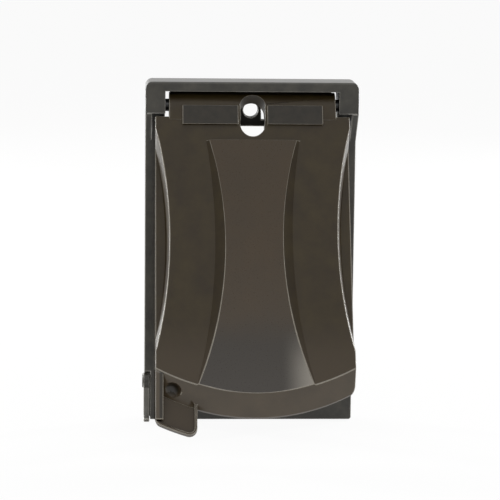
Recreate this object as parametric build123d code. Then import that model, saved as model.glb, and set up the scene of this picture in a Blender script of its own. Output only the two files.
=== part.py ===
from build123d import *
import math
import os

os.makedirs("parts", exist_ok=True)

# All shapes are drawn as seen from the front: x to the right, y up, z out of the wall.
# The last step turns them so that the wall is the plane y = 0 and the front faces -y.
front_view = Plane(origin=(0, 0, 0), x_dir=(1, 0, 0), z_dir=(0, -1, 0))

# Frame, sizes in millimetres
plate_width = 73.0
plate_height = 119.9
top_to_screw = 10.7
top_corner_radius = 2.4
bottom_corner_radius = 0.9
front_edge_round = 0.6
gasket_thickness = 1.5
gasket_inset = 0.5
rail_width = 3.8
rail_depth = 7.0
block_depth = 16.4
top_bar_height = 3.3
bay_roof = 2.0
bay_front_wall = 2.4
bay_lip = 0.4
window_to_top = 5.9
strip_end_gap = 1.7
block_width = 6.8
block_height = 10.9
gusset_width = 2.3
gusset_height = 10.2
bottom_bar_height = 18.2
bar_wall = 2.4

# Screw ears
screw_spacing = 96.8
screw_hole_diameter = 5.1
ear_width = 7.4
ear_thickness = 2.5
rib_height = 2.4
rib_to_screw = 4.5
recess_width = 11.0

# Hinge
hinge_to_top = 8.4
hinge_depth = 11.2
pin_diameter = 3.2
pin_running_clearance = 0.06
pin_in_barrel = 9.0
pin_end_setback = 0.4
barrel_radius = 4.5
barrel_end_gap = 1.25
washer_outer_diameter = 4.3
washer_end_clearance = 0.05
washer_bore_clearance = 0.05
rest_opening = 27.0

# Lid
lid_side_setback = 3.4
lid_end_setback = 2.0
lid_wall = 2.0
front_level = 5.2
shoulder_drop = 6.2
header_height = 2.8
flange_front = -2.2
flange_thickness = 1.8
neck_length = 7.2

# Concave sides of the lid, at the front and at the flange
front_cut_start = 9.7
front_cut_to_end = 19.8
front_waist_inset = 5.55
flange_cut_start = 15.0
flange_cut_to_end = 26.3
flange_waist_inset = 3.4
cut_runout = 5.0

# Shallow scoop along the lid on both sides of the tie panel
scoop_depth = 2.8

# Tie panel
panel_start = 14.5
panel_centre = 51.0
panel_half_waist = 9.7
panel_side_radius = 133.0
panel_side_slope = 1.2
panel_half_reach = 26.0

# Lip along the lower end
lip_low_radius = 68.3
lip_width = 6.5
corner_radius = 3.0
recess_radius = 2.7
recess_to_side = 5.05
recess_to_end = 8.95
recess_depth = 1.1

# Stop pads beside the access slot
pad_to_barrel_end = 4.5
pad_inner = 4.9
pad_start = 2.3
pad_height = 6.8
pad_proud = 0.8
slot_width = 8.5
slot_start = -2.2
slot_length = 15.1

# Pull tab
tab_width = 13.8
tab_drop = 9.5
tab_overlap = 1.8
tab_plate = 1.6
tab_rim_width = 0.95
tab_rim_height = 1.6
tab_corner_radius = 2.6
fin_width = 2.6
fin_start_to_end = 17.1
fin_full_to_end = 13.5
fin_drop = 1.2
fin_low_level = 0.2

# Lock lever and its rivet
lever_thickness = 2.0
lever_side_clearance = 0.25
lever_notch_width = 2.05
lever_back_wall = 0.8
lever_eye_radius = 2.85
lever_to_bottom = 13.7
lever_pivot_depth = 5.5
lever_arm_width = 3.6
lever_arm_length = 13.2
foot_thickness = 1.2
foot_reach = 7.6
rivet_diameter = 2.5
rivet_running_clearance = 0.06
rivet_head_radius = 2.5
rivet_head_height = 0.45
notch_clearance = 0.6

# Places worked out from the sizes above
half_width = plate_width / 2
screw_up = screw_spacing / 2
plate_top = screw_up + top_to_screw
plate_bottom = plate_top - plate_height
opening_half = half_width - rail_width
bar_underside = plate_top - top_bar_height
window_top = plate_top - window_to_top
bar_top = plate_bottom + bottom_bar_height
block_inner = half_width - block_width
strip_half = block_inner - strip_end_gap
block_bottom = plate_top - block_height
hinge_up = plate_top - hinge_to_top
rib_top = screw_up - rib_to_screw + rib_height / 2
rib_low = rib_top - rib_height
ear_front = gasket_thickness + ear_thickness
barrel_half = block_inner - barrel_end_gap
lid_half = half_width - lid_side_setback
lid_length = hinge_up - plate_bottom - lid_end_setback
lip_centre = lid_length - lip_low_radius
lip_top_radius = lip_low_radius - lip_width
tab_radius = lip_low_radius + tab_drop
scoop_end = lip_centre + lip_top_radius
recess_x = -lid_half + recess_to_side
recess_drop = lid_length - recess_to_end
pad_half_length = barrel_half - pad_to_barrel_end
fin_start = lid_length - fin_start_to_end
fin_full_end = lid_length - fin_full_to_end
rim_back = flange_front - flange_thickness
notch_inner = -half_width + lever_notch_width
pivot_up = plate_bottom + lever_to_bottom
lever_outer = notch_inner - lever_side_clearance - lever_thickness


def slab(x0, x1, y0, y1, z0, z1):
    return Pos((x0 + x1) / 2, (y0 + y1) / 2, (z0 + z1) / 2) * Box(x1 - x0, y1 - y0, z1 - z0)


def rod_along_x(radius, x0, x1, y, z):
    return Pos((x0 + x1) / 2, y, z) * Rot(Y=90) * Cylinder(radius, x1 - x0)


def side_profile(points, x0, x1):
    face = make_face(Polyline(*points, close=True))
    return extrude(Plane.YZ.offset(x0) * face, amount=x1 - x0)


# Frame pieces

def plate_outline():
    outline = Pos(0, (plate_top + plate_bottom) / 2) * Rectangle(plate_width, plate_height)
    upper = outline.vertices().group_by(Axis.Y)[-1]
    outline = fillet(upper, top_corner_radius)
    lower = outline.vertices().group_by(Axis.Y)[0]
    return fillet(lower, bottom_corner_radius)


def ear_outline():
    stem = Pos(0, (rib_low + screw_up) / 2) * Rectangle(ear_width, screw_up - rib_low)
    return stem + Pos(0, screw_up) * Circle(ear_width / 2)


def window_outline():
    # one large window for the outlet, and a low one behind the hinge with a slit up each end
    outline = Pos(0, (bar_top + rib_low) / 2) * Rectangle(2 * opening_half, rib_low - bar_top)
    outline += Pos(0, (rib_top + bar_underside) / 2) * Rectangle(2 * block_inner, bar_underside - rib_top)
    return outline - Pos(0, (window_top + bar_underside) / 2) * Rectangle(2 * strip_half, bar_underside - window_top)


def lever_notch():
    top = pivot_up + lever_eye_radius + notch_clearance
    back = gasket_thickness + lever_back_wall
    return slab(-half_width - 1, notch_inner, plate_bottom - 1, top, back, rail_depth + 1)


def hinge_block(side):
    x0, x1 = sorted((side * block_inner, side * (half_width + 1)))
    return slab(x0, x1, block_bottom, plate_top + 1, gasket_thickness, block_depth)


def gusset(side):
    x0, x1 = sorted((side * (half_width - gusset_width), side * half_width))
    foot = block_bottom - gusset_height
    points = [(foot, rail_depth), (block_bottom, block_depth), (block_bottom, gasket_thickness)]
    points += [(foot, gasket_thickness)]
    return side_profile(points, x0, x1)


def screw_recess():
    pocket = Pos(0, -screw_up) * Circle(recess_width / 2)
    mouth_top = bar_top + 1
    pocket += Pos(0, (mouth_top - screw_up) / 2) * Rectangle(recess_width, mouth_top + screw_up)
    return Pos(0, 0, ear_front) * extrude(pocket, amount=rail_depth)


def bar_pocket(side):
    inner = recess_width / 2 + bar_wall
    outer = opening_half - bar_wall
    x0, x1 = sorted((side * inner, side * outer))
    return slab(x0, x1, plate_bottom + bar_wall, bar_top - bar_wall, 0, rail_depth - bar_wall)


def hinge_bay():
    # room around the barrel: open at the front, with a strip of wall behind its upper half
    roof = plate_top - bay_roof
    points = [(rib_top, ear_front), (rib_top, block_depth + 1), (bar_underside, block_depth + 1)]
    points += [(bar_underside, block_depth - bay_lip), (roof, block_depth - bay_front_wall), (roof, ear_front)]
    return side_profile(points, -block_inner, block_inner)


def raised_top():
    # top bar and both hinge blocks, with their front edges rounded
    solid = slab(-half_width - 1, half_width + 1, bar_underside, plate_top + 1, gasket_thickness, block_depth)
    solid += hinge_block(-1) + hinge_block(1)
    solid = solid & extrude(plate_outline(), amount=block_depth)
    rim = solid.faces().sort_by(Axis.Z)[-1].outer_wire().edges()
    across = (block_inner + half_width) / 2
    outer = [edge for edge in rim if abs(edge.center().X) > across and edge.center().Y > block_bottom]
    upper = [edge for edge in rim if edge.center().Y > plate_top - front_edge_round]
    return fillet(set(outer + upper), front_edge_round)


def base_frame():
    solid = Pos(0, 0, gasket_thickness) * extrude(plate_outline(), amount=rail_depth - gasket_thickness)
    solid += raised_top() + gusset(-1) + gusset(1)
    solid -= hinge_bay() + extrude(window_outline(), amount=rail_depth + 1)
    ear = extrude(ear_outline(), amount=ear_front)
    rib = slab(-opening_half, opening_half, rib_low, rib_top, 0, ear_front)
    solid += (ear + rib) - slab(-half_width, half_width, 0, plate_top, -1, gasket_thickness)
    solid -= slab(-opening_half, opening_half, rib_low, rib_top, ear_front, rail_depth + 1)
    solid -= screw_recess() + bar_pocket(-1) + bar_pocket(1)
    hole = Cylinder(screw_hole_diameter / 2, 4 * block_depth)
    solid -= Pos(0, screw_up) * hole + Pos(0, -screw_up) * hole
    solid -= rod_along_x(pin_diameter / 2, -plate_width, plate_width, hinge_up, hinge_depth)
    solid -= lever_notch()
    solid -= rod_along_x(rivet_diameter / 2, notch_inner - 1, -opening_half + 1, pivot_up, lever_pivot_depth)
    return solid


def wall_gasket():
    outline = offset(plate_outline() - window_outline() + ear_outline(), amount=-gasket_inset)
    solid = extrude(outline, amount=gasket_thickness)
    hole = Cylinder(screw_hole_diameter / 2, 4 * gasket_thickness)
    return solid - (Pos(0, screw_up) * hole + Pos(0, -screw_up) * hole)


# Hinge pins and washers

def hinge_pin(side):
    x0, x1 = sorted((side * (half_width - pin_end_setback), side * (barrel_half - pin_in_barrel)))
    pin = rod_along_x(pin_diameter / 2, x0, x1, hinge_up, hinge_depth)
    return chamfer(pin.edges().filter_by(GeomType.CIRCLE), 0.3)


def hinge_washer(side):
    inner = barrel_half + washer_end_clearance
    x0, x1 = sorted((side * block_inner, side * inner))
    ring = rod_along_x(washer_outer_diameter / 2, x0, x1, hinge_up, hinge_depth)
    bore = pin_diameter / 2 + washer_bore_clearance
    return ring - rod_along_x(bore, x0 - 1, x1 + 1, hinge_up, hinge_depth)


# Lid, drawn closed with the hinge axis as origin: y is up, z is out of the wall

def concave_side(start, end, waist_inset, inset, level):
    # an arc through both ends of the cut and its waist, run on past the lid's side
    half_chord = (end - start) / 2
    radius = (half_chord**2 + waist_inset**2) / (2 * waist_inset)
    reach = half_chord + cut_runout
    rise = radius - math.sqrt(radius**2 - reach**2)
    centre = -(start + end) / 2
    waist = lid_half - waist_inset - inset
    upper = (waist + rise, centre + reach)
    lower = (waist + rise, centre - reach)
    arc = ThreePointArc(upper, (waist, centre), lower)
    rest = Polyline(lower, (2 * lid_half, lower[1]), (2 * lid_half, upper[1]), upper)
    return Pos(0, 0, level) * make_face([arc, rest])


def side_cuts(inset):
    # the cut starts at the flange and leaves a drafted wall up to the front
    low_end = lid_length - flange_cut_to_end
    high_end = lid_length - front_cut_to_end
    low = concave_side(flange_cut_start, low_end, flange_waist_inset, inset, flange_front)
    high = concave_side(front_cut_start, high_end, front_waist_inset, inset, front_level)
    cut = loft([low, high], ruled=True) + extrude(high, amount=front_level)
    if inset:
        cut += extrude(low, amount=-front_level)
    return cut + mirror(cut, Plane.YZ)


def lip_slope():
    return math.atan2(front_level - flange_front, lip_width)


def lip_form(inset):
    # round form of the lower end: a straight rim at the flange, a sloped lip above
    slope = lip_slope()
    shift = inset / math.sin(slope)
    low_radius = lip_low_radius - inset
    low_level = flange_front - (shift - inset) * math.tan(slope)
    top_level = 2 * front_level
    top_radius = lip_top_radius - shift - (top_level - front_level) / math.tan(slope)
    points = [(0, -plate_width), (low_radius, -plate_width), (low_radius, low_level)]
    points += [(top_radius, top_level), (0, top_level)]
    face = Plane.XZ * make_face(Polyline(*points, close=True))
    return Pos(0, -lip_centre, 0) * revolve(face, Axis.Z)


def panel_form(inset):
    top = front_level - inset
    body = slab(-panel_half_reach, panel_half_reach, -2 * lip_low_radius, -panel_start - inset, 0, top)
    base_radius = panel_side_radius + inset - panel_side_slope * top
    cutter = Cone(base_radius, panel_side_radius + inset, top)
    across = panel_half_waist + panel_side_radius
    right = Pos(across, -panel_centre, top / 2) * cutter
    return body - right - mirror(right, Plane.YZ)


def lid_form(inset):
    half = lid_half - inset
    upper = -shoulder_drop - (header_height if inset else 0)
    back = rim_back - (1 if inset else 0)
    form = slab(-half, half, -2 * lip_low_radius, upper, back, front_level - inset)
    chord = (scoop_end - shoulder_drop) / 2
    radius = (chord**2 + scoop_depth**2) / (2 * scoop_depth)
    centre_drop = (shoulder_drop + scoop_end) / 2
    height = front_level - scoop_depth + radius
    form -= rod_along_x(radius + inset, -plate_width, plate_width, -centre_drop, height)
    form += panel_form(inset)
    return (form & lip_form(inset)) - side_cuts(inset)


def neck():
    ring = Circle(barrel_radius)
    block = Pos(-neck_length / 2 - 0.75, front_level / 2) * Rectangle(neck_length - 1.5, front_level)
    profile = make_hull(ring.edges() + block.edges())
    return extrude(Plane.YZ.offset(-barrel_half) * profile, amount=2 * barrel_half)


def stop_pad(side):
    x0, x1 = sorted((side * pad_inner, side * pad_half_length))
    return slab(x0, x1, -pad_start - pad_height, -pad_start, 0, front_level + pad_proud)


def access_slot():
    centre = -slot_start - slot_length / 2
    outline = Pos(0, centre) * Rot(Z=90) * SlotOverall(slot_length, slot_width)
    return Pos(0, 0, -2 * barrel_radius) * extrude(outline, amount=4 * barrel_radius)


def disc_sector(radius, inner_radius, x0, x1, z0, z1):
    ring = Circle(radius) - Circle(inner_radius)
    ring = Pos(0, -lip_centre) * ring
    window = Pos((x0 + x1) / 2, -lip_centre - radius / 2) * Rectangle(x1 - x0, radius)
    return Pos(0, 0, z0) * extrude(ring & window, amount=z1 - z0)


def pull_tab():
    x0 = -lid_half
    x1 = x0 + tab_width
    inner_radius = lip_low_radius - tab_overlap
    plate_front = rim_back + tab_plate
    tab = disc_sector(tab_radius, inner_radius, x0, x1, rim_back, plate_front + tab_rim_height)
    corners = tab.edges().filter_by(Axis.Z).group_by(Axis.Y)
    tab = fillet(corners[0] + corners[1], tab_corner_radius)
    dish = disc_sector(tab_radius - tab_rim_width, inner_radius - 1, x0 - 1, x1 - tab_rim_width,
                       plate_front, plate_front + 2 * tab_rim_height)
    dish = fillet(dish.edges().filter_by(Axis.Z).sort_by(Axis.Y)[0], tab_corner_radius - tab_rim_width)
    return tab - dish


def side_fin():
    low = -lip_centre - math.sqrt((tab_radius - tab_rim_width)**2 - lid_half**2)
    top = front_level - fin_drop
    points = [(-fin_start, rim_back), (-fin_start, top), (-fin_full_end, top)]
    points += [(low, fin_low_level), (low, rim_back)]
    return side_profile(points, -lid_half, -lid_half + fin_width)


def round_recess():
    # a shallow dimple sunk square to the sloped lip, whose level falls away from its centre
    out = math.hypot(recess_x, recess_drop - lip_centre) - lip_top_radius
    level = front_level - out * math.tan(lip_slope())
    ball = (recess_radius**2 + recess_depth**2) / (2 * recess_depth)
    place = Pos(recess_x, -recess_drop, level) * Rot(X=math.degrees(lip_slope()))
    return place * Pos(0, 0, ball - recess_depth) * Sphere(ball)


def lower_corner():
    # what lies outside a round corner between the lid's right side and the lip
    across = lid_half - corner_radius
    reach = lip_low_radius - corner_radius
    down = math.sqrt(reach**2 - across**2)
    centre = (across, -lip_centre - down)
    outward = (across + across, -lip_centre - 2 * down)
    far = (2 * lid_half, outward[1])
    face = make_face(Polyline(centre, outward, far, (far[0], centre[1]), close=True))
    face -= Pos(*centre) * Circle(corner_radius)
    return Pos(0, 0, rim_back - 1) * extrude(face, amount=4 * front_level)


def lid():
    solid = lid_form(0) - lid_form(lid_wall)
    solid += neck() + stop_pad(-1) + stop_pad(1)
    solid -= access_slot() + round_recess() + lower_corner()
    solid += side_fin() + pull_tab()
    bore = pin_diameter / 2 + pin_running_clearance
    depth = pin_in_barrel + 0.5
    solid -= rod_along_x(bore, -barrel_half - 1, -barrel_half + depth, 0, 0)
    solid -= rod_along_x(bore, barrel_half - depth, barrel_half + 1, 0, 0)
    opened = Rot(X=-rest_opening) * solid
    return Pos(0, hinge_up, hinge_depth) * opened


# Lock lever and rivet

def lock_lever():
    x0 = lever_outer
    x1 = x0 + lever_thickness
    eye = rod_along_x(lever_eye_radius, x0, x1, pivot_up, lever_pivot_depth)
    half = lever_arm_width / 2
    low = pivot_up - lever_arm_length
    arm = slab(x0, x1, low, pivot_up, lever_pivot_depth - half, lever_pivot_depth + half)
    foot = slab(x0, x1, low, low + foot_thickness, lever_pivot_depth, lever_pivot_depth + foot_reach)
    solid = eye + arm + foot
    bore = rivet_diameter / 2 + rivet_running_clearance
    return solid - rod_along_x(bore, x0 - 1, x1 + 1, pivot_up, lever_pivot_depth)


def lock_rivet():
    head_inner = lever_outer - washer_end_clearance
    head_outer = head_inner - rivet_head_height
    shank = rod_along_x(rivet_diameter / 2, head_outer, -opening_half, pivot_up, lever_pivot_depth)
    head = rod_along_x(rivet_head_radius, head_outer, head_inner, pivot_up, lever_pivot_depth)
    rim = head.edges().filter_by(GeomType.CIRCLE).sort_by(Axis.X)[0]
    return shank + fillet(rim, rivet_head_height * 0.8)


def write_node(name, solid):
    export_step(front_view.location * solid, f"parts/{name}.step")


write_node("base_frame", base_frame())
write_node("wall_gasket", wall_gasket())
write_node("lid", lid())
write_node("hinge_pin_left", hinge_pin(-1))
write_node("hinge_pin_right", hinge_pin(1))
write_node("hinge_washer_left", hinge_washer(-1))
write_node("hinge_washer_right", hinge_washer(1))
write_node("lock_lever", lock_lever())
write_node("lock_rivet", lock_rivet())
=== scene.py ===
import math

import bmesh
import bpy
from mathutils import Matrix, Vector


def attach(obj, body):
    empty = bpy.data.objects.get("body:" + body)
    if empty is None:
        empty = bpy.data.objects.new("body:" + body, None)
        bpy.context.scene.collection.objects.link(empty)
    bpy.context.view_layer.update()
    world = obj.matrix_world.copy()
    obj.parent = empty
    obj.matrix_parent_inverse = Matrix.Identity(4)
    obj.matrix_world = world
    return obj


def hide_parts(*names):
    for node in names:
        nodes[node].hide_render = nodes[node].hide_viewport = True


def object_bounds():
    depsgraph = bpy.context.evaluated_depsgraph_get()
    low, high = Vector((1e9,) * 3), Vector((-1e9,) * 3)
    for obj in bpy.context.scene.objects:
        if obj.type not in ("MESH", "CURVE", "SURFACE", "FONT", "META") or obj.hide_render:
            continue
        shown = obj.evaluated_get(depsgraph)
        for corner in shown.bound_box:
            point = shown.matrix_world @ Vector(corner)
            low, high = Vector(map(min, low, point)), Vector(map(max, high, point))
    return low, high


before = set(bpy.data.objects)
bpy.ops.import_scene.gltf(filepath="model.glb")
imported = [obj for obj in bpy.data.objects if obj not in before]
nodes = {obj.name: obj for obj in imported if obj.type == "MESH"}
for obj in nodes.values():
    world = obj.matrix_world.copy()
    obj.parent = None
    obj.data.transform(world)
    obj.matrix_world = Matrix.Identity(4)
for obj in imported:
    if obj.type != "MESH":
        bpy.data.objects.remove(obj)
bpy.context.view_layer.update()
mm = 0.001
print("frame loaded:", len(nodes), "CAD pieces")


def linear(hexColour):
    # sRGB hex to the linear values that shaders use, by the standard sRGB curve
    values = [int(hexColour[i:i + 2], 16) / 255 for i in (1, 3, 5)]
    return [v / 12.92 if v <= 0.04045 else ((v + 0.055) / 1.055) ** 2.4 for v in values] + [1.0]


def addNode(tree, kind, settings=None, links=None):
    # adds one node; settings name its properties or inputs, links feed its inputs
    node = tree.nodes.new(kind)
    for name, value in (settings or {}).items():
        if isinstance(name, str) and hasattr(node, name):
            setattr(node, name, value)
        else:
            node.inputs[name].default_value = value
    for name, output in (links or {}).items():
        tree.links.new(output, node.inputs[name])
    return node


def newMaterial(name):
    # an empty material and its node tree
    material = bpy.data.materials.new(name)
    material.use_nodes = True
    tree = material.node_tree
    tree.nodes.clear()
    return material, tree


def objectPlace(tree):
    # the place on the object, which every pattern is made from
    return addNode(tree, "ShaderNodeTexCoord").outputs["Object"]


def spots(tree, place, size, settings):
    # a cloudy pattern with spots of about this size in mm
    noise = addNode(tree, "ShaderNodeTexNoise", {"Scale": 1 / (size * mm), **settings}, {"Vector": place})
    return noise.outputs["Fac"]


def toneOf(tree, pattern, look, span=(0.3, 0.7)):
    # from the look's dark colour to its light one over this span of the pattern
    node = addNode(tree, "ShaderNodeValToRGB", None, {"Fac": pattern})
    for element, position, colour in zip(node.color_ramp.elements, span, (look["dark"], look["light"])):
        element.position = position
        element.color = linear(colour)
    return node.outputs["Color"]


def glossOf(tree, pattern, look):
    # the roughness wanders between the look's two values with the pattern
    settings = {"To Min": look["rough"][0], "To Max": look["rough"][1]}
    return addNode(tree, "ShaderNodeMapRange", settings, {"Value": pattern}).outputs["Result"]


def reliefOf(tree, pattern, strength, height, under=None):
    # the pattern as relief of this height in mm, on top of the relief under it
    links = {"Height": pattern}
    if under is not None:
        links["Normal"] = under
    settings = {"Strength": strength, "Distance": height * mm}
    return addNode(tree, "ShaderNodeBump", settings, links).outputs["Normal"]


def addSurface(tree, settings, links):
    shader = addNode(tree, "ShaderNodeBsdfPrincipled", settings, links)
    addNode(tree, "ShaderNodeOutputMaterial", None, {"Surface": shader.outputs["BSDF"]})


def paintedLightPatch(tree, place, colour, patch):
    # painted light and shade: each patch stands in for light or shade on the surface
    # another colour in a soft-edged patch, around a point or far enough along each direction; a span
    # is the two distances in mm where the change starts and where it is complete
    measures = [("DISTANCE", [c * mm for c in centre], span) for centre, span in patch.get("around", ())]
    measures += [("DOT_PRODUCT", direction, span) for direction, span in patch.get("along", ())]
    share = None
    for operation, against, (start, end) in measures:
        reach = addNode(tree, "ShaderNodeVectorMath", {"operation": operation, 1: against}, {0: place})
        settings = {"interpolation_type": "SMOOTHSTEP", "From Min": start * mm, "From Max": end * mm}
        change = addNode(tree, "ShaderNodeMapRange", settings, {"Value": reach.outputs["Value"]})
        fade = change.outputs["Result"]
        if share is None:
            share = fade
        else:
            both = addNode(tree, "ShaderNodeMath", {"operation": "MULTIPLY"}, {0: share, 1: fade})
            share = both.outputs["Value"]
    # the colours of a mix node are its inputs 6 and 7, and the mixed colour is its output 2
    settings = {"data_type": "RGBA", 7: linear(patch["colour"])}
    return addNode(tree, "ShaderNodeMix", settings, {0: share, 6: colour}).outputs[2]


def powderCoat(name, look):
    # polyester powder coat, sprayed and baked: satin, with a fine orange peel that breaks up
    # the highlights and a slight mottle where the film is thinner
    material, tree = newMaterial(name)
    place = objectPlace(tree)
    mottle = spots(tree, place, look["mottle"], {"Detail": 4.0, "Roughness": 0.6})
    grain = spots(tree, place, look["grain"], {"Detail": 2.0})
    peel = spots(tree, place, look["peel"], {"Detail": 1.0, "Roughness": 0.4})
    low = reliefOf(tree, peel, look["peelStrength"], look["peelHeight"])
    fine = reliefOf(tree, grain, look["grainStrength"], look["grainHeight"], low)
    colour = toneOf(tree, mottle, look)
    # the look's painted light and shade patches
    for patch in look.get("paintedLight", ()):
        colour = paintedLightPatch(tree, place, colour, patch)
    addSurface(tree, {"IOR": look["ior"]},
               {"Base Color": colour, "Roughness": glossOf(tree, grain, look), "Normal": fine})
    return material


def closedCellFoam(name, look):
    # die-cut neoprene foam: matt black skin with the dimples of the cells under it
    material, tree = newMaterial(name)
    place = objectPlace(tree)
    cells = addNode(tree, "ShaderNodeTexVoronoi", {"Scale": 1 / (look["cell"] * mm)}, {"Vector": place})
    dust = spots(tree, place, look["dust"], {"Detail": 3.0})
    dimples = reliefOf(tree, cells.outputs["Distance"], look["strength"], look["depth"])
    addSurface(tree, {"IOR": look["ior"], "Roughness": look["rough"]},
               {"Base Color": toneOf(tree, dust, look, (0.35, 0.75)), "Normal": dimples})
    return material


def turnedSteel(name, look):
    # drawn rod, cut to length: bright, with fine rings around the axis that spread the gloss
    material, tree = newMaterial(name)
    place = objectPlace(tree)
    # the pattern is fine along the axis and coarse around it
    scale = (1 / (look["ring"] * mm), look["roundScale"], look["roundScale"])
    rings = addNode(tree, "ShaderNodeMapping", {"Scale": scale}, {"Vector": place})
    noise = addNode(tree, "ShaderNodeTexNoise", {"Scale": 1.0, "Detail": 2.0},
                    {"Vector": rings.outputs["Vector"]})
    lines = noise.outputs["Fac"]
    score = reliefOf(tree, lines, look["strength"], look["depth"])
    addSurface(tree, {"Metallic": 1.0},
               {"Base Color": toneOf(tree, lines, look), "Roughness": glossOf(tree, lines, look),
                "Normal": score})
    return material


def mouldedNylon(name, look):
    # injection-moulded black nylon: slightly greasy sheen with a faint flow pattern
    material, tree = newMaterial(name)
    place = objectPlace(tree)
    flow = spots(tree, place, look["flow"], {"Detail": 3.0})
    addSurface(tree, {"IOR": look["ior"]},
               {"Base Color": toneOf(tree, flow, look), "Roughness": glossOf(tree, flow, look)})
    return material


# directions and places on the lid as it stands open, for its painted light and shade
rightward, leftward, downLid = (1, 0, 0), (-1, 0, 0), (0, -0.454, -0.891)
# painted shade in the finger dimple, dark within it and fading out at its rim
paintedShadeDimple = {"colour": "#1a150c", "around": [((-27.6, -57.8, -38.75), (3.1, 1.6))]}

smoothSpray = {"grain": 0.35, "peel": 1.6, "peelStrength": 0.15, "peelHeight": 0.02,
               "grainStrength": 0.2, "grainHeight": 0.01}
# the pale edge coats are painted highlights along the bevelled edges
edgeHighlightSpray = {**smoothSpray, "mottle": 4.0, "grain": 0.3, "peel": 1.0, "rough": (0.22, 0.32), "ior": 1.6}

wingCoat = powderCoat("powder_coat_bronze_textured_painted_light", {
    "dark": "#281e0c", "light": "#352b15", "mottle": 7.0, "grain": 0.35, "peel": 1.3,
    "rough": (0.40, 0.50), "ior": 1.33, "peelStrength": 0.25, "peelHeight": 0.03,
    "grainStrength": 0.3, "grainHeight": 0.015,
    # painted light: paler towards the lip, where the wings catch more light; painted shade in the dimple
    "paintedLight": [{"colour": "#413729", "along": [(downLid, (34.0, 56.0))]}, paintedShadeDimple],
})
smoothCoat = powderCoat("powder_coat_bronze_smooth_painted_light", {
    **smoothSpray, "dark": "#33260f", "light": "#392a11", "mottle": 12.0, "rough": (0.24, 0.34), "ior": 1.40,
    # painted shade darkens the panel's foot, and a painted highlight brightens it towards its right edge
    "paintedLight": [{"colour": "#241c0f", "along": [(downLid, (34.0, 48.0))]},
               {"colour": "#8f897f", "along": [(downLid, (38.0, 56.0)), (rightward, (8.0, 19.5))]}],
})
rimCoat = powderCoat("powder_coat_bronze_rim_painted_light_and_shade", {
    # painted light: the rim's coat is paler than the wings and the panel, for the light the down-facing lip
    # catches from the floor
    **smoothSpray, "dark": "#443a2c", "light": "#4e4333", "mottle": 9.0, "rough": (0.26, 0.36), "ior": 1.5,
    # painted shade along the inner side of the fin and in the dimple
    "paintedLight": [{"colour": "#201909", "along": [(rightward, (-32.1, -31.5)), (leftward, (30.2, 30.5))]},
               paintedShadeDimple],
})
padCoat = powderCoat("powder_coat_bronze_barrel_pads", {
    **smoothSpray, "dark": "#1c1810", "light": "#2a251c", "mottle": 3.0, "rough": (0.36, 0.48), "ior": 1.34,
})
# painted highlight along the lid's edges
lidEdgeCoat = powderCoat("powder_coat_bronze_painted_highlight_lid_edges", {
    **edgeHighlightSpray, "dark": "#777063", "light": "#8e877a",
})
frameCoat = powderCoat("powder_coat_bronze_frame", {
    "dark": "#25231d", "light": "#3f3c34", "mottle": 4.5, "grain": 0.35, "peel": 1.3,
    "rough": (0.28, 0.38), "ior": 1.5, "peelStrength": 0.3, "peelHeight": 0.03,
    "grainStrength": 0.3, "grainHeight": 0.015,
})
# painted shade for the deep hinge bay
shadedBayCoat = powderCoat("powder_coat_bronze_painted_shade_in_hinge_bay", {
    "dark": "#0d0c0a", "light": "#16140f", "mottle": 4.0, "grain": 0.35, "peel": 1.0,
    "rough": (0.50, 0.60), "ior": 1.3, "peelStrength": 0.2, "peelHeight": 0.02,
    "grainStrength": 0.3, "grainHeight": 0.02,
})
# painted highlight along the frame's edges
frameEdgeCoat = powderCoat("powder_coat_bronze_painted_highlight_frame_edges", {
    **edgeHighlightSpray, "dark": "#7d7b74", "light": "#93908a",
})
# painted light: the lever's arm is coated paler for its lit faces
leverCoat = powderCoat("powder_coat_bronze_lever_arm_painted_light", {
    "dark": "#64625c", "light": "#77746e", "mottle": 5.0, "grain": 0.3, "peel": 1.0,
    "rough": (0.30, 0.40), "ior": 1.5, "peelStrength": 0.25, "peelHeight": 0.02,
    "grainStrength": 0.3, "grainHeight": 0.015,
})
# painted highlight along the lever's edges
leverEdgeCoat = powderCoat("powder_coat_bronze_painted_highlight_lever_edges", {
    **edgeHighlightSpray, "dark": "#a19e96", "light": "#b9b6ae", "mottle": 3.0, "rough": (0.25, 0.35),
})
gasketFoam = closedCellFoam("neoprene_gasket_foam", {
    "dark": "#0e0e0e", "light": "#1c1c1b", "cell": 0.5, "dust": 6.0, "strength": 0.5, "depth": 0.08,
    "ior": 1.45, "rough": 0.85,
})
pinSteel = turnedSteel("turned_steel_pin", {
    "dark": "#8c8b87", "light": "#b3b2ad", "ring": 0.12, "roundScale": 60.0, "strength": 0.2, "depth": 0.01,
    "rough": (0.22, 0.38),
})
washerNylon = mouldedNylon("moulded_nylon_washer", {
    "dark": "#121212", "light": "#1e1e1d", "flow": 1.5, "ior": 1.53, "rough": (0.32, 0.45),
})
print("materials made")


# how the CAD's triangles become castings with soft edges
castLook = {
    "gap": 0.001, "flatAngle": 0.4,  # points closer than this are joined (mm), and faces flatter (degrees)
    "straightOn": 2.72,  # above this angle, in radians, two edges that meet run on in one line
    "mostRoom": 1.0, "alone": 0.9, "shared": 0.45,  # mm, and parts of a face without and with a second bevel
    "largeFaces": 80,  # how much the large faces lead the shading of the small ones
}


def merged(node):
    # a copy of a CAD node with its loose triangles joined into whole faces
    bm = bmesh.new()
    bm.from_mesh(nodes[node].data)
    bmesh.ops.remove_doubles(bm, verts=bm.verts, dist=castLook["gap"] * mm)
    bmesh.ops.dissolve_limit(bm, angle_limit=math.radians(castLook["flatAngle"]), verts=bm.verts,
                             edges=bm.edges, use_dissolve_boundaries=False)
    return bm


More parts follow.
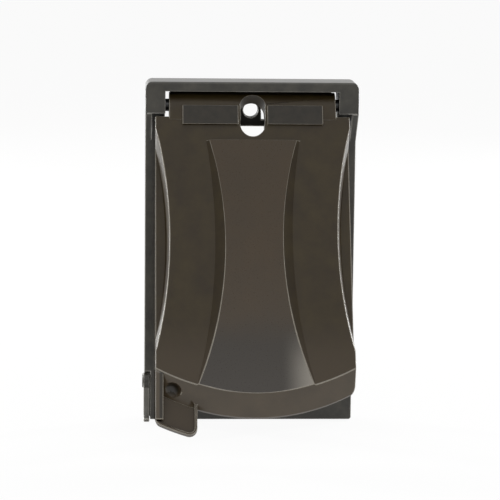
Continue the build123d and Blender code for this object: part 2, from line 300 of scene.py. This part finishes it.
def roomBeside(edge, sharp):
    # how far the faces beside an edge reach at its ends, in mm, shared with a corner on their far side
    room = castLook["mostRoom"]
    for vert in edge.verts:
        along = edge.other_vert(vert).co - vert.co
        for other in vert.link_edges:
            side = other.other_vert(vert).co - vert.co
            if other is edge or side.length == 0 or along.angle(side) >= castLook["straightOn"]:
                continue
            beyond = [far for far in other.other_vert(vert).link_edges if far is not other]
            share = castLook["shared" if any(far in sharp for far in beyond) else "alone"]
            room = min(room, share * side.length * math.sin(along.angle(side)) / mm)
    return room


def softenEdges(bm, look, bevelOf):
    # every outer corner of the casting is weighted for the bevel, narrower where there is little
    # room, and the corners without a bevel stay sharp
    weight = bm.edges.layers.float.new("bevel_weight_edge")
    corner = math.radians(look["angle"])
    sharp = {edge for edge in bm.edges if edge.is_manifold and edge.calc_face_angle_signed() > corner}
    for edge in sharp:
        edge[weight] = bevelOf(edge) * min(1.0, roomBeside(edge, sharp) / look["edge"])
    for edge in bm.edges:
        if edge[weight] == 0 and edge.calc_face_angle(0) > corner:
            edge.smooth = False


def addPiece(name, node, body, coats, look, coatOf, bevelOf):
    # the casting that takes a CAD node's place: coatOf says which coat a face has, bevelOf how much
    # of the bevel an edge gets, and the last coat is the pale one on the edges: a painted highlight,
    # glossier too
    bm = merged(node)
    for face in bm.faces:
        face.material_index = coats.index(coatOf(face))
        face.smooth = True
    softenEdges(bm, look, bevelOf)
    mesh = bpy.data.meshes.new(name)
    bm.to_mesh(mesh)
    bm.free()
    piece = bpy.data.objects.new(name, mesh)
    bpy.context.collection.objects.link(piece)
    for coat in coats:
        mesh.materials.append(coat)
    bevel = piece.modifiers.new("cast edges", "BEVEL")
    bevel.width = look["edge"] * mm
    bevel.segments = look["steps"]
    bevel.limit_method = "WEIGHT"
    # the bevels get the pale edge coat, a painted highlight
    bevel.material = len(coats) - 1
    bevel.use_clamp_overlap = False
    shade = piece.modifiers.new("even shading", "WEIGHTED_NORMAL")
    shade.weight = castLook["largeFaces"]
    shade.keep_sharp = True
    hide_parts(node)
    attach(piece, body)


# the back frame, in mm and degrees; bay is the box of the hinge bay, from low to high in x, y and z
frameLook = {"edge": 0.35, "steps": 2, "angle": 28, "slot": "frame_coat",
             "bay": ((-30.6, 30.6), (-15.9, -1.6), (44.0, 57.6))}


def frameCoatOf(face):
    # painted shade: the deep hinge bay gets a darker, duller coat
    middle = face.calc_center_median() / mm
    inBay = all(low < value < high for value, (low, high) in zip(middle, frameLook["bay"]))
    return shadedBayCoat if inBay else frameCoat


def fullBevel(edge):
    # all corners of the frame are rounded alike
    return 1.0


addPiece("cover_frame", "base_frame", "frame", [frameCoat, shadedBayCoat, frameEdgeCoat],
         frameLook, frameCoatOf, fullBevel)

# the lid, in mm and degrees: places are across it, down from its hinge and out of its plane
lidLook = {
    "edge": 0.27, "steps": 2, "angle": 28, "slot": "lid_coat",
    "opened": 27.0, "hinge": (-11.2, 50.7),  # the hinge's y and z
    "flat": 0.9999, "slope": (0.2, 0.9),  # how far a face turns out: in the lid's plane, or sloping
    "panelLevel": 5.2, "levelMargin": 0.05, "panelTop": 12.0, "panelHalf": 20.0,
    "panelBevel": 0.15, "panelFade": 75.0,  # the bevel at the panel's top, and how far down it grows
    "padStep": 0.1, "padEnd": 0.2, "padEndBevel": 0.9, "padSideBevel": 0.3,
    "lipCentre": 41.2, "lipRadius": (61.7, 68.35),  # the lip lies between two radii from its centre
    "lipTop": 90.0, "lipMargin": 0.6, "rimMargin": 0.2,
    "lipBevel": 0.3, "lipFade": (5.0, 10.0),  # the bevel at the middle, where it starts to grow, how far
    "tabSide": -19.2, "finSide": -30.5, "finTop": 91.0,
    "dimple": (-27.4, 100.6, 3.0),  # its place across and down, and its radius
}
lidTilt = math.radians(lidLook["opened"])
lidOutward = Vector((0, -math.cos(lidTilt), math.sin(lidTilt)))
lidDownward = Vector((0, -math.sin(lidTilt), -math.cos(lidTilt)))


def lidPlace(point):
    # across the lid, down from its hinge, out of its plane and away from the lip's centre, in mm
    y, z = lidLook["hinge"]
    place = (point - Vector((0, y * mm, z * mm))) / mm
    drop = place.dot(lidDownward)
    return place.x, drop, place.dot(lidOutward), math.hypot(place.x, drop - lidLook["lipCentre"])


def lidCoatOf(face):
    # the raised centre panel and the rim below the lip line are sprayed smoother than the wings;
    # the fin goes with the rim, and the pads on the barrel have their own coat
    across, drop, level, reach = lidPlace(face.calc_center_median())
    facing = face.normal.dot(lidOutward)
    slight, steep = lidLook["slope"]
    inner, outer = lidLook["lipRadius"]
    above = level - lidLook["panelLevel"]
    if facing > lidLook["flat"] and drop < lidLook["panelTop"] and above > lidLook["padStep"]:
        return padCoat
    if facing > steep and across < lidLook["finSide"] and drop > lidLook["finTop"]:
        return rimCoat
    if facing > lidLook["flat"] and drop > lidLook["panelTop"] and abs(above) < lidLook["levelMargin"]:
        return smoothCoat
    if inner < reach < outer and slight < facing < steep and drop > lidLook["lipTop"]:
        return rimCoat
    return wingCoat


def growing(least, share):
    # a bevel that grows from its least weight to the full one
    return min(1.0, least + (1 - least) * share)


def lidBevel(edge):
    # the low edge of the lip and the finger dimple are left crisp; the pads' long sides, the middle
    # of the lip line and the panel's upper edges round less, and so carry less of the painted edge highlight
    across, drop, level, reach = lidPlace((edge.verts[0].co + edge.verts[1].co) / 2)
    inner, outer = lidLook["lipRadius"]
    onLowRim = drop > lidLook["lipCentre"] and reach > outer - lidLook["rimMargin"]
    dimpleAcross, dimpleDrop, dimpleRadius = lidLook["dimple"]
    onDimple = math.hypot(across - dimpleAcross, drop - dimpleDrop) < dimpleRadius
    if onDimple or (onLowRim and across > lidLook["tabSide"]):
        return 0.0
    if drop < lidLook["panelTop"]:
        first, last = (lidPlace(vert.co)[0] for vert in edge.verts)
        return lidLook["padEndBevel" if abs(first - last) < lidLook["padEnd"] else "padSideBevel"]
    if abs(reach - inner) < lidLook["lipMargin"] and drop > lidLook["lipTop"]:
        start, length = lidLook["lipFade"]
        return growing(lidLook["lipBevel"], max(0.0, abs(across) - start) / length)
    if abs(level - lidLook["panelLevel"]) < lidLook["levelMargin"] and abs(across) < lidLook["panelHalf"]:
        return growing(lidLook["panelBevel"], ((drop - lidLook["panelTop"]) / lidLook["panelFade"]) ** 2)
    return 1.0


addPiece("flip_lid", "lid", "lid", [wingCoat, smoothCoat, rimCoat, padCoat, lidEdgeCoat],
         lidLook, lidCoatOf, lidBevel)

# the hanging lever, in mm and degrees; its head is what lies above headLow
leverLook = {"edge": 0.35, "steps": 2, "angle": 35, "slot": "lever_coat", "headLow": -50.0, "headBevel": 0.4}


def leverCoatOf(face):
    # the head round the rivet has the frame's coat, and the arm's coat is paler: painted light for its lit
    # faces
    return frameCoat if face.calc_center_median().z > leverLook["headLow"] * mm else leverCoat


def leverBevel(edge):
    # the head's edges get a narrower bevel than the arm's, so less of the painted edge highlight
    middle = (edge.verts[0].co + edge.verts[1].co) / 2
    return leverLook["headBevel"] if middle.z > leverLook["headLow"] * mm else 1.0


addPiece("hanging_lever", "lock_lever", "lever", [leverCoat, frameCoat, leverEdgeCoat],
         leverLook, leverCoatOf, leverBevel)

# the small pieces keep the CAD's form and get their material
for node, material in (
        ("wall_gasket", gasketFoam), ("hinge_pin_left", pinSteel), ("hinge_pin_right", pinSteel),
        ("hinge_washer_left", washerNylon), ("hinge_washer_right", washerNylon), ("lock_rivet", frameCoat)):
    nodes[node].data.materials.clear()
    nodes[node].data.materials.append(material)
print("pieces made")


# the white floor and surroundings: floorDrop in mm, reach in metres, shown the floor's share of
# white for the rays that see it, lit and seen the world's strength as a lamp and to the eye
stageLook = {"floorDrop": 0.4, "reach": 4.0, "white": "#ffffff", "floor": "#f2f2f0", "shown": 0.94,
             "lit": 0.28, "seen": 1.0}


def whiteRays(tree):
    # 1 for the rays that show the white surroundings: straight, mirrored or through glass
    path = addNode(tree, "ShaderNodeLightPath").outputs
    share = path["Is Camera Ray"]
    for ray in ("Is Glossy Ray", "Is Transmission Ray"):
        either = addNode(tree, "ShaderNodeMath", {"operation": "MAXIMUM"}, {0: share, 1: path[ray]})
        share = either.outputs["Value"]
    return share


def stageFloor():
    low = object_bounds()[0]
    bm = bmesh.new()
    bmesh.ops.create_grid(bm, x_segments=1, y_segments=1, size=stageLook["reach"])
    bmesh.ops.translate(bm, verts=bm.verts, vec=(0, 0, low.z - stageLook["floorDrop"] * mm))
    mesh = bpy.data.meshes.new("floor")
    bm.to_mesh(mesh)
    bm.free()
    floor = bpy.data.objects.new("floor", mesh)
    bpy.context.collection.objects.link(floor)
    material, tree = newMaterial("paper_sweep_floor")
    paper = addNode(tree, "ShaderNodeBsdfDiffuse", {"Color": linear(stageLook["floor"])})
    glow = addNode(tree, "ShaderNodeEmission", {"Color": linear(stageLook["white"]), "Strength": 1.0})
    share = addNode(tree, "ShaderNodeMath", {"operation": "MULTIPLY", 1: stageLook["shown"]},
                    {0: whiteRays(tree)})
    mix = addNode(tree, "ShaderNodeMixShader", None,
                  {0: share.outputs["Value"], 1: paper.outputs["BSDF"], 2: glow.outputs["Emission"]})
    addNode(tree, "ShaderNodeOutputMaterial", None, {"Surface": mix.outputs["Shader"]})
    mesh.materials.append(material)


def softLight(name, place, aim, size, power):
    data = bpy.data.lights.new(name, "AREA")
    data.shape = "RECTANGLE"
    data.size, data.size_y = size
    data.energy = power
    light = bpy.data.objects.new(name, data)
    bpy.context.collection.objects.link(light)
    light.location = place
    light.rotation_euler = (Vector(aim) - Vector(place)).to_track_quat("-Z", "Y").to_euler()


def surroundings():
    world = bpy.data.worlds.new("white studio")
    bpy.context.scene.world = world
    world.use_nodes = True
    tree = world.node_tree
    tree.nodes.clear()
    white = linear(stageLook["white"])
    lit, seen = (addNode(tree, "ShaderNodeBackground", {"Color": white, "Strength": stageLook[kind]})
                 for kind in ("lit", "seen"))
    mix = addNode(tree, "ShaderNodeMixShader", None,
                  {0: whiteRays(tree), 1: lit.outputs["Background"], 2: seen.outputs["Background"]})
    addNode(tree, "ShaderNodeOutputWorld", None, {"Surface": mix.outputs["Shader"]})


stageFloor()
surroundings()
# each lamp's name, place, aim and size in metres, and power in watts
for lamp in (
        ("overhead", (0.0, -0.25, 0.8), (0, 0, 0), (0.8, 0.6), 1.8),
        ("front", (0.0, -0.8, 0.46), (0, -0.05, -0.02), (0.5, 0.2), 1.0),
        ("left strip", (-0.5, 0.7, 0.08), (0, 0, 0), (0.25, 0.8), 5.0),
        ("right strip", (0.5, 0.7, 0.08), (0, 0, 0), (0.25, 0.8), 5.0),
        ("left edge strip", (-0.75, 0.4, 0.08), (0, 0, 0), (0.08, 0.8), 8.0),
        ("right edge strip", (0.75, 0.4, 0.08), (0, 0, 0), (0.08, 0.8), 8.0)):
    softLight(*lamp)
print("light set")

# the photograph's viewpoint: angles in degrees, distance and offsets in mm, focal length in pixels
shot = {"yaw": 3.0, "pitch": 9.2, "roll": 0.65, "distance": 818.5, "focal": 2328.0,
        "imageSide": 500.0, "right": 0.52, "down": 1.4}


def takeShot():
    yaw, pitch, roll = (math.radians(shot[k]) for k in ("yaw", "pitch", "roll"))
    back = Vector((-math.sin(yaw) * math.cos(pitch), -math.cos(yaw) * math.cos(pitch), math.sin(pitch)))
    level = Vector((0, 0, 1)).cross(back).normalized()
    upright = back.cross(level)
    right = math.cos(roll) * level + math.sin(roll) * upright
    up = back.cross(right)
    target = (right * shot["right"] - up * shot["down"]) * mm
    data = bpy.data.cameras.new("camera")
    data.sensor_fit = "HORIZONTAL"
    data.lens = data.sensor_width * shot["focal"] / shot["imageSide"]
    camera = bpy.data.objects.new("camera", data)
    bpy.context.collection.objects.link(camera)
    turn = Matrix((right, up, back)).transposed().to_4x4()
    camera.matrix_world = Matrix.Translation(target + back * shot["distance"] * mm) @ turn
    bpy.context.scene.camera = camera


takeShot()
bpy.context.scene.view_settings.view_transform = "Standard"
